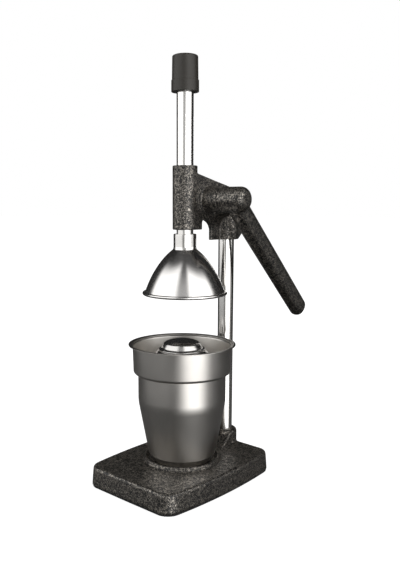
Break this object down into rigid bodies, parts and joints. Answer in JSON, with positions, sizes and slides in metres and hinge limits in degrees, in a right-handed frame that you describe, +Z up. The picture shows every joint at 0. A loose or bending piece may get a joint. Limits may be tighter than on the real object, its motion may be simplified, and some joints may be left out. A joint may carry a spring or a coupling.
{
  "type": "lever citrus juice press",
  "caption": "Bench citrus press: a side lever drives a rack ram that pushes a bell over a reamer in a strainer bowl on a juice cup.",
  "frame": {"origin": "on the bench surface, under the centre of the base's outline and on the axis of the cup and of the ring that locates it", "axes": "+Z up, +X towards the lever's side, +Y towards the post, so the cup is taken away towards -Y"},
  "size_m": [0.148, 0.2811, 0.5089],
  "materials": {
    "hammertone": "dark grey hammertone paint on cast iron",
    "mat_rubber": "matte black sheet rubber",
    "cap_rubber": "matte dark grey moulded rubber",
    "chromed_bar": "chromed steel bar",
    "polished_sheet": "polished steel",
    "satin_sheet": "satin stainless steel",
    "gear_steel": "machined steel, oiled",
    "dark_steel": "blackened steel",
    "screw_steel": "plated steel",
    "bush_bronze": "sintered bronze"
  },
  "bodies": {
    "frame": {"base_casting": "hammertone", "base_mat": "mat_rubber", "post": "chromed_bar", "post_washer": "screw_steel", "post_nut": "screw_steel", "head_casting": "hammertone", "post_set_screws": "dark_steel", "upper_guide_bush": "bush_bronze", "lower_guide_bush": "bush_bronze", "gear_cover": "hammertone", "cover_screws": "screw_steel", "cover_bush": "bush_bronze", "barrel_bush": "bush_bronze", "thrust_washer": "dark_steel"},
    "lever": {"lever": "hammertone", "lever_key": "gear_steel", "lever_grub_screws": "dark_steel", "pinion_shaft": "gear_steel", "pinion": "gear_steel", "pinion_key": "gear_steel", "shaft_washer": "screw_steel", "retaining_ring": "dark_steel"},
    "ram": {"rack_rod": "chromed_bar", "rod_cap": "cap_rubber", "bell_collar": "chromed_bar", "collar_grub_screw": "dark_steel", "press_bell": "polished_sheet", "bell_washer": "screw_steel", "bell_screw": "screw_steel"},
    "cup": {"juice_cup": "satin_sheet"},
    "bowl": {"strainer_bowl": "satin_sheet", "strainer_plate": "satin_sheet", "reamer": "satin_sheet"}
  },
  "joints": [
    {"name": "lever_turn", "type": "hinge", "parent": "frame", "child": "lever", "pos_m": [0, 0.03, 0.344], "axis": [1, 0, 0], "range_deg": [0, 245]},
    {"name": "ram_slide", "type": "slide", "parent": "frame", "child": "ram", "axis": [0, 0, 1], "range_m": [-0.0752, 0]},
    {"name": "cup_slide", "type": "slide", "parent": "frame", "child": "cup", "axis": [0, -0.8988, 0.4384], "range_m": [0, 0.1424]},
    {"name": "bowl_lift", "type": "slide", "parent": "cup", "child": "bowl", "axis": [0, 0, 1], "range_m": [0, 0.008]}
  ],
  "couplings": [
    {"joint": "ram_slide", "follows": "lever_turn", "m_per_rad": -0.0175}
  ]
}
